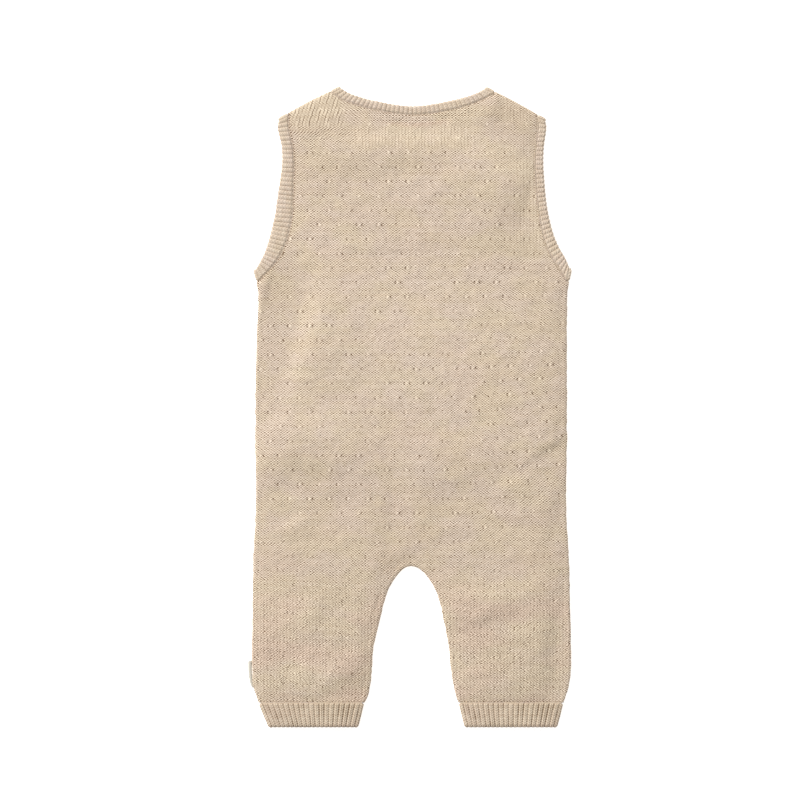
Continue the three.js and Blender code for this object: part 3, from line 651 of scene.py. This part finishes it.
def band_stations(back_table, front_table, ribs, steps, parting=0.0):
    """Places round a closed flat band: seam and edge points, way out of the cloth, rib crest and count."""
    stations = []
    share, length = even_steps(back_table, ribs * steps)
    ends = zip(spline(back_table, "seam", share), spline(back_table, "edge", share))
    for t, (s, e) in enumerate(ends):
        stations.append((s, e, np.array([0, 0, 1.0]), rib_profile(t / steps, parting), t / steps))

    def turn(table, end, start_up, count):
        """Adds the ribs round a folded end, from the upper layer to the lower one or back."""
        s, inside = spline(table, "seam", np.array([end, abs(end - 0.05)]))
        e = spline(table, "edge", np.array([end]))[0]
        out = outward(s, e, inside)
        for k in range(1, turn_ribs * steps):
            angle = math.pi * k / (turn_ribs * steps)
            direction = np.array([*(out * math.sin(angle)), start_up * math.cos(angle)])
            crest = 0.8 * rib_profile(k / steps) * math.sin(angle) ** 0.5
            stations.append((s, e, direction, crest, count + k / steps))

    turn(back_table, 1.0, 1, ribs)
    front_share, front_length = even_steps(front_table, 1)
    plain = int(round(front_length / plain_step))
    front_share = even_steps(front_table, plain)[0][::-1]
    front_ribs = round(front_length / length * ribs)
    ends = zip(spline(front_table, "seam", front_share), spline(front_table, "edge", front_share))
    for t, (s, e) in enumerate(ends):
        stations.append((s, e, np.array([0, 0, -1.0]), 0.0, ribs + turn_ribs + front_ribs * t / plain))
    turn(back_table, 0.0, -1, ribs + turn_ribs + front_ribs)
    return stations, ribs + 2 * turn_ribs + front_ribs


rolled_section = {  # shares of width, thickness and rib's rise, and how far ribs push past the open edge
    "across": [0.0, 0.0, 0.12, 0.32, 0.66, 0.88, 1.0, 0.95],
    "out": [0.0, 0.45, 0.9, 1.0, 1.0, 0.84, 0.45, 0.0],
    "rib": [0, 0.3, 1, 1, 1, 1, 0.6, 0],
    "push": [0, 0, 0, 0, 0, 0.3, 0.4, 0],
}
stitch_rise, stitch_slant = 0.13, 0.7  # of the V stitches on a rib
band_points, band_rib_rise = 30, 0.48  # points across a band, and how far its ribs stand out
link_clear = 0.05  # from a band's sewn edge to the middle of its linking yarn


def rib_band(name, stations, rib_total, section, thickness, between, points_across, deep, rib_rise):
    """A closed band with its ribs and the stitches on them."""
    rows = np.column_stack(list(section.values())).astype(float)
    chain = smooth_rows(rows, np.linspace(0, len(rows) - 1, points_across))
    inside = chain[-1] + (chain[0] - chain[-1]) * np.array([[0.3], [0.7]])  # closes the section
    chain = np.clip(np.vstack([chain, inside]), 0, 1)
    widths = [np.linalg.norm(e - s) for s, e, *_ in stations]
    step = np.hypot(np.diff(chain[:, 0]) * np.mean(widths), np.diff(chain[:, 1]) * thickness)
    courses = np.concatenate([[0], np.cumsum(step)]) / course
    middle = between / 2 + thickness
    points, counts = [], []
    for s, e, direction, crest, count in stations:
        side = (e - s) / np.linalg.norm(e - s)
        place = s + (e - s) * chain[:, :1] + side * chain[:, 3:] * crest
        vee = courses + stitch_slant * abs(count % 1 - 0.5)
        knots = stitch_rise * crest * chain[:, 2] * np.cos(2 * math.pi * vee)
        reach = between / 2 + thickness * chain[:, 1] + rib_rise * chain[:, 2] * crest + knots
        points.append(np.column_stack([place, np.full(len(chain), middle)]) + direction * reach[:, None])
        counts.append(count)
    n, m = len(stations), len(chain)
    grid = np.arange(n * m).reshape(n, m)
    closed = np.pad(grid, ((0, 1), (0, 1)), mode="wrap")
    quads = grid_quads(closed)
    u = np.append(counts, rib_total)
    v = np.append(courses, courses[-1] + 2)
    pairs = np.dstack(np.meshgrid(u, v, indexing="ij"))
    corner = np.arange((n + 1) * (m + 1)).reshape(n + 1, m + 1)
    uv = pairs.reshape(-1, 2)[grid_quads(corner)]
    points = np.vstack(points)
    # painted shade: a cuff's open end, where it turns down away from the light, and its right end are painted
    # darker
    hem = np.tile(deep * ramp(chain[:, 0], 0.88, 0.96), n)
    hem += deep * 0.35 * smooth_step(points[:, 0] - points[:, 0].mean(), 5, 32)
    return cloth(name, points, quads, uv, deep=np.full(len(points), deep), hem=hem)


strand, strand_swing, strand_bob = 0.42, 0.38, 0.2  # radius, and how far it swings aside and up
ply_length, yarn_step = 3.2, 0.45  # of one turn of the two strands, and of the mesh along them


def linking(name, line, height, on):
    """Two plied strands of yarn that lie in the groove along a band and link it to the body."""
    steps = int(lengths(line)[-1] / yarn_step)
    middle = on_line(line, np.linspace(0, 1, steps))
    go = np.gradient(middle, axis=0)
    go /= np.linalg.norm(go, axis=1)[:, None]
    side = np.column_stack([go[:, 1], -go[:, 0]])
    points, quads = [], []
    sides_round = 6
    ring = np.linspace(0, 2 * math.pi, sides_round + 1)[:-1]
    for start in (0, math.pi):
        swing = np.arange(steps) * yarn_step / ply_length * 2 * math.pi + start
        centre = np.column_stack([middle + side * strand_swing * np.sin(swing)[:, None],
                                  height + strand_bob * np.cos(swing)])
        around = (np.cos(ring)[None, :, None] * np.column_stack([side, np.zeros(steps)])[:, None]
                  + np.sin(ring)[None, :, None] * np.array([0, 0, 1.0])) * strand
        around[[0, -1]] *= 0.1
        grid = np.arange(steps * sides_round).reshape(steps, sides_round) + len(points) * steps * sides_round
        grid = np.pad(grid, ((0, 0), (0, 1)), mode="wrap")
        points.append((centre[:, None] + around).reshape(-1, 3))
        quads += [grid_quads(grid), [grid[0, [3, 2, 1, 0]], grid[0, [5, 4, 3, 0]],
                                     grid[-1, [0, 1, 2, 3]], grid[-1, [0, 3, 4, 5]]]]
    points, quads = np.vstack(points), np.vstack(quads)
    strand_width = 1.1
    piece = cloth(name, points, quads, (points[:, :2] / strand_width)[quads], deep=np.zeros(len(points)))
    piece.data.materials.append(on)


# Rib knit of the same yarn: each rib a soft cord of stacked V stitches, with a shaded valley between cords.
rib = new_material("rib_knit_cotton_melange")
uv = add(rib, "UVMap", {}, uv_map="stitches")
rib_u = add(rib, "SeparateXYZ", {0: uv})
rib_v = rib_u.node.outputs[1]
from_valley = calc(rib, "PINGPONG", rib_u, 0.5)
vee = calc(rib, "MULTIPLY_ADD", from_valley, -1.4, rib_v)
vee = calc(rib, "MULTIPLY", vee, 2 * math.pi)
vee = calc(rib, "SINE", vee)
deep = marked(rib, "deep")  # 1 on the cuffs, 0 on the bands
narrow = add(rib, "MapRange", {0: deep, 3: 0.13, 4: 0.2})
valley = add(rib, "MapRange", {0: from_valley, 1: 0.0, 2: narrow, 3: 1.0, 4: 0.0},
             interpolation_type="SMOOTHSTEP")
darker = add(rib, "MapRange", {0: deep, 3: 0.75, 4: 1.0})
parting = add(rib, "MapRange", {0: from_valley, 1: 0.5, 2: 0.38, 3: 0.7, 4: 0.0},
              interpolation_type="SMOOTHSTEP")
parting = calc(rib, "MULTIPLY", parting, deep)
valley = calc(rib, "MULTIPLY_ADD", valley, darker, parting)
# the ribs aren't drawn in evenly, so the shade painted into some valleys is darker than in others
drawn_in = add(rib, "VectorMath", {0: uv, 1: (0.45, 0.12, 0.0)}, operation="MULTIPLY")
drawn_in = mottle(rib, drawn_in, 1.0, 2.0)
drawn_in = add(rib, "MapRange", {0: drawn_in, 1: 0.32, 2: 0.68, 3: 0.4, 4: 1.6})
valley = calc(rib, "MULTIPLY", valley, drawn_in)
stitched = add(rib, "MapRange", {0: deep, 3: -0.1, 4: -0.19})
stitched = calc(rib, "MULTIPLY_ADD", vee, stitched, 0.19)
shade = calc(rib, "MULTIPLY_ADD", valley, 0.5, stitched)
# painted shade at a cuff's open end and right end
shade = calc(rib, "MULTIPLY_ADD", marked(rib, "hem"), 0.2, shade)
yellower = add(rib, "MapRange", {0: deep, 3: 0.0, 4: 0.7})
pinker = add(rib, "MapRange", {0: deep, 3: 0.1, 4: 0.6})
yarn = melange(rib, uv, "f0e4d6", "decebe", yellower, pinker)
colour = add(rib, "Mix", {0: shade, 6: yarn, 7: linear("765c43")}, out=2, data_type="RGBA")
cotton(rib, colour, add(rib, "Bump", {"Height": vee, "Strength": 0.5, "Distance": 0.0002}))

neck_ribs = round(even_steps(back_neck, 1)[1] / neck_rib)
neck_stations = band_stations(back_neck, front_neck, neck_ribs, rib_steps)
neckband = rib_band("neckband_rib", *neck_stations, rolled_section, ribbing, band_gap, band_points, 0.0,
                    band_rib_rise)
neckband.data.materials.append(rib)
linking("neck_linking_yarn", seam_line(back_neck, link_clear)[1:-1], neck_yarn_height, rib)
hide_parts("neckband")

# Armhole bands: the same rib, each a closed strip linked round its armhole and lying flat with one layer on
# the other; the left one is a little wider as it lies.
arm_rib = 3.6  # width of a rib
for name, table, width, yarn_height in (("armhole_band_left", left_armhole, 0.0135, 3.95),
                                        ("armhole_band_right", right_armhole, 0.0105, 4.5)):
    ribs = round(even_steps(table, 1)[1] / arm_rib)
    stations = band_stations(table, table, ribs, rib_steps)
    band = rib_band(name + "_rib", *stations, rolled_section, ribbing, band_gap, band_points, 0.0,
                    band_rib_rise)
    band.data.materials.append(rib)
    linking(name + "_linking_yarn", seam_line(table, link_clear)[1:-1], yarn_height, rib)
    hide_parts(name)

# Leg cuffs: short tubes of the same rib with the ribs running down the leg, linked to the leg and drawn in
# a little towards the open end.
cuff_ribbing, cuff_gap, cuff_ribs, leg_end = 2.4, 1.0, 19, -250.0
cuff_points, cuff_rib_rise, cuff_parting = 36, 0.9, 0.3
cuff_yarn_height, cuff_yarn_inset = 4.7, 1.2
flat_section = {
    "across": [0.0, 0.0, 0.04, 0.12, 0.82, 0.93, 0.99, 0.98],
    "out": [0.0, 0.5, 0.92, 1.0, 1.0, 0.82, 0.4, 0.0],
    "rib": [0, 0.2, 0.6, 1, 1, 0.9, 0.5, 0],
    "push": [0, 0, 0, 0, 0, 0.2, 0.4, 0],
}
cuffs = {  # left and right end of the row linked to the leg, and of the open end
    "leg_cuff_left": (-118.2, -36.0, -110.2, -40.6),
    "leg_cuff_right": (38.2, 119.6, 42.8, 114.8),
}
for name, (seam_left, seam_right, end_left, end_right) in cuffs.items():
    inset = cuff_ribbing + cuff_gap / 2
    seam_x = np.linspace(seam_left + inset, seam_right - inset, 3)
    edge_x = np.linspace(end_left + inset, end_right - inset, 3)
    rows = {"seam_x": seam_x, "seam_y": [cuff_row] * 3, "edge_x": edge_x, "edge_y": [leg_end] * 3}
    stations = band_stations(rows, rows, cuff_ribs, rib_steps + 4, cuff_parting)
    cuff = rib_band(name + "_rib", *stations, flat_section, cuff_ribbing, cuff_gap, cuff_points, 1.0,
                    cuff_rib_rise)
    cuff.data.materials.append(rib)
    line = np.array([[seam_left + cuff_yarn_inset, cuff_line], [seam_right - cuff_yarn_inset, cuff_line]])
    linking(name + "_linking_yarn", line, cuff_yarn_height, rib)
    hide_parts(name)

# Label: a blank loop of ivory woven tape, sewn into the left side seam above the cuff so that only its fold
# stands out.
tape, tape_gap = 1.0, 0.14  # the folded tape's whole thickness, and the space left between its layers
tape_out = 2.9  # how far its fold stands out from the seam at most
label_rows = {
    "y": [-198.2, -199.4, -205, -211, -217, -219.4],
    "out": [2.4, tape_out, tape_out, 2.6, 2.0, 1.1],
}
label_y = np.linspace(label_rows["y"][0], label_rows["y"][-1], 30)
inner = at_height(sides, "left", label_y) - solid_gap
out = np.interp(-label_y, -np.array(label_rows["y"]), label_rows["out"])
turn = np.linspace(-1, 1, 13)  # from the lower layer round the fold to the upper one
bend = np.sqrt(np.maximum(0, 1 - turn**2)) / tape_out


def tape_face(half):
    """One face of the folded tape, from the seam round the fold and back, in shares of reach and depth."""
    fold = np.column_stack([-(1 - 0.5 / tape_out) - bend * half, turn * half])
    return np.concatenate([[[0, -half]], fold, [[0, half]]])


outer_face, inner_face = tape_face(0.5), tape_face(tape_gap / tape / 2)
ring = np.vstack([outer_face, inner_face[::-1]])
points = np.array([(i + px * o, yy, wall + layer_gap / 2 + pz * tape)
                   for yy, i, o in zip(label_y, inner, out) for px, pz in ring])
m = len(ring)
grid = np.pad(np.arange(len(points)).reshape(-1, m), ((0, 0), (0, 1)), mode="wrap")
quads = grid_quads(grid)
caps = [[r[k], r[k + 1], r[m - 2 - k], r[m - 1 - k]]
        for r in (grid[0], grid[-1]) for k in range(m // 2 - 1)]
quads = np.vstack([quads, np.array(caps[:m // 2 - 1])[:, ::-1], caps[m // 2 - 1:]])
thread_width = 0.35
threads = np.column_stack([points[:, 1], points[:, 0]]) / thread_width
label = cloth("label_tape", points, quads, threads[quads])
# Ivory polyester satin tape, woven: fine even threads and a slight gloss.
satin = new_material("woven_satin_tape_ivory")
uv = add(satin, "UVMap", {}, uv_map="stitches")
thread = add(satin, "TexWave", {"Vector": uv, "Scale": 0.314}, bands_direction="X")
colour = add(satin, "Mix", {0: thread, 6: linear("dad5c7"), 7: linear("e5dfd2")}, out=2, data_type="RGBA")
bump = add(satin, "Bump", {"Height": thread, "Strength": 0.3, "Distance": 0.0001})
surface = add(satin, "BsdfPrincipled", {"Base Color": colour, "Roughness": 0.55, "IOR": 1.55, "Normal": bump})
add(satin, "OutputMaterial", {0: surface})
label.data.materials.append(satin)
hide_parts("label_tab")

# Floor, light and camera, in metres: a white light table under soft studio light from the upper left, seen
# from overhead.
floor = bpy.data.objects.new("floor", bpy.data.meshes.new("floor"))
half_floor = 9
corners = [(a * half_floor, b * half_floor, 0) for a, b in ((-1, -1), (1, -1), (1, 1), (-1, 1))]
floor.data.from_pydata(corners, [], [(0, 1, 2, 3)])
floor.location.z = -0.0002  # just clear of the cloth
bpy.context.scene.collection.objects.link(floor)
acrylic = new_material("white_acrylic_opal")
surface = add(acrylic, "BsdfPrincipled", {"Base Color": linear("fbfbfb"), "Roughness": 0.6, "IOR": 1.49,
                                           "Specular IOR Level": 0.1, "Emission Color": (1, 1, 1, 1),
                                           "Emission Strength": 0.6})
add(acrylic, "OutputMaterial", {0: surface})
floor.data.materials.append(acrylic)

lamp = bpy.data.objects.new("softbox", bpy.data.lights.new("softbox", "AREA"))
lamp.data.shape, lamp.data.size, lamp.data.energy = "DISK", 1.7, 358
lamp.location = (-3.2, 3.6, 3.85)
lamp.rotation_euler = (Vector((0, 0.02, 0)) - lamp.location).to_track_quat("-Z", "Y").to_euler()
bpy.context.scene.collection.objects.link(lamp)
world = bpy.data.worlds.new("studio")
world.use_nodes = True
world.node_tree.nodes["Background"].inputs["Color"].default_value = (1, 1, 1, 1)
world.node_tree.nodes["Background"].inputs["Strength"].default_value = 0.47
bpy.context.scene.world = world

camera = bpy.data.objects.new("camera", bpy.data.cameras.new("camera"))
camera.data.lens, camera.data.sensor_width = 100, 36
camera.location = (-0.0078, 0.0055, 1.74)
bpy.context.scene.collection.objects.link(camera)
bpy.context.scene.camera = camera
bpy.context.scene.view_settings.view_transform = "Standard"
bpy.context.scene.cycles.use_denoising = False  # it would smooth away stitches that are about a pixel wide
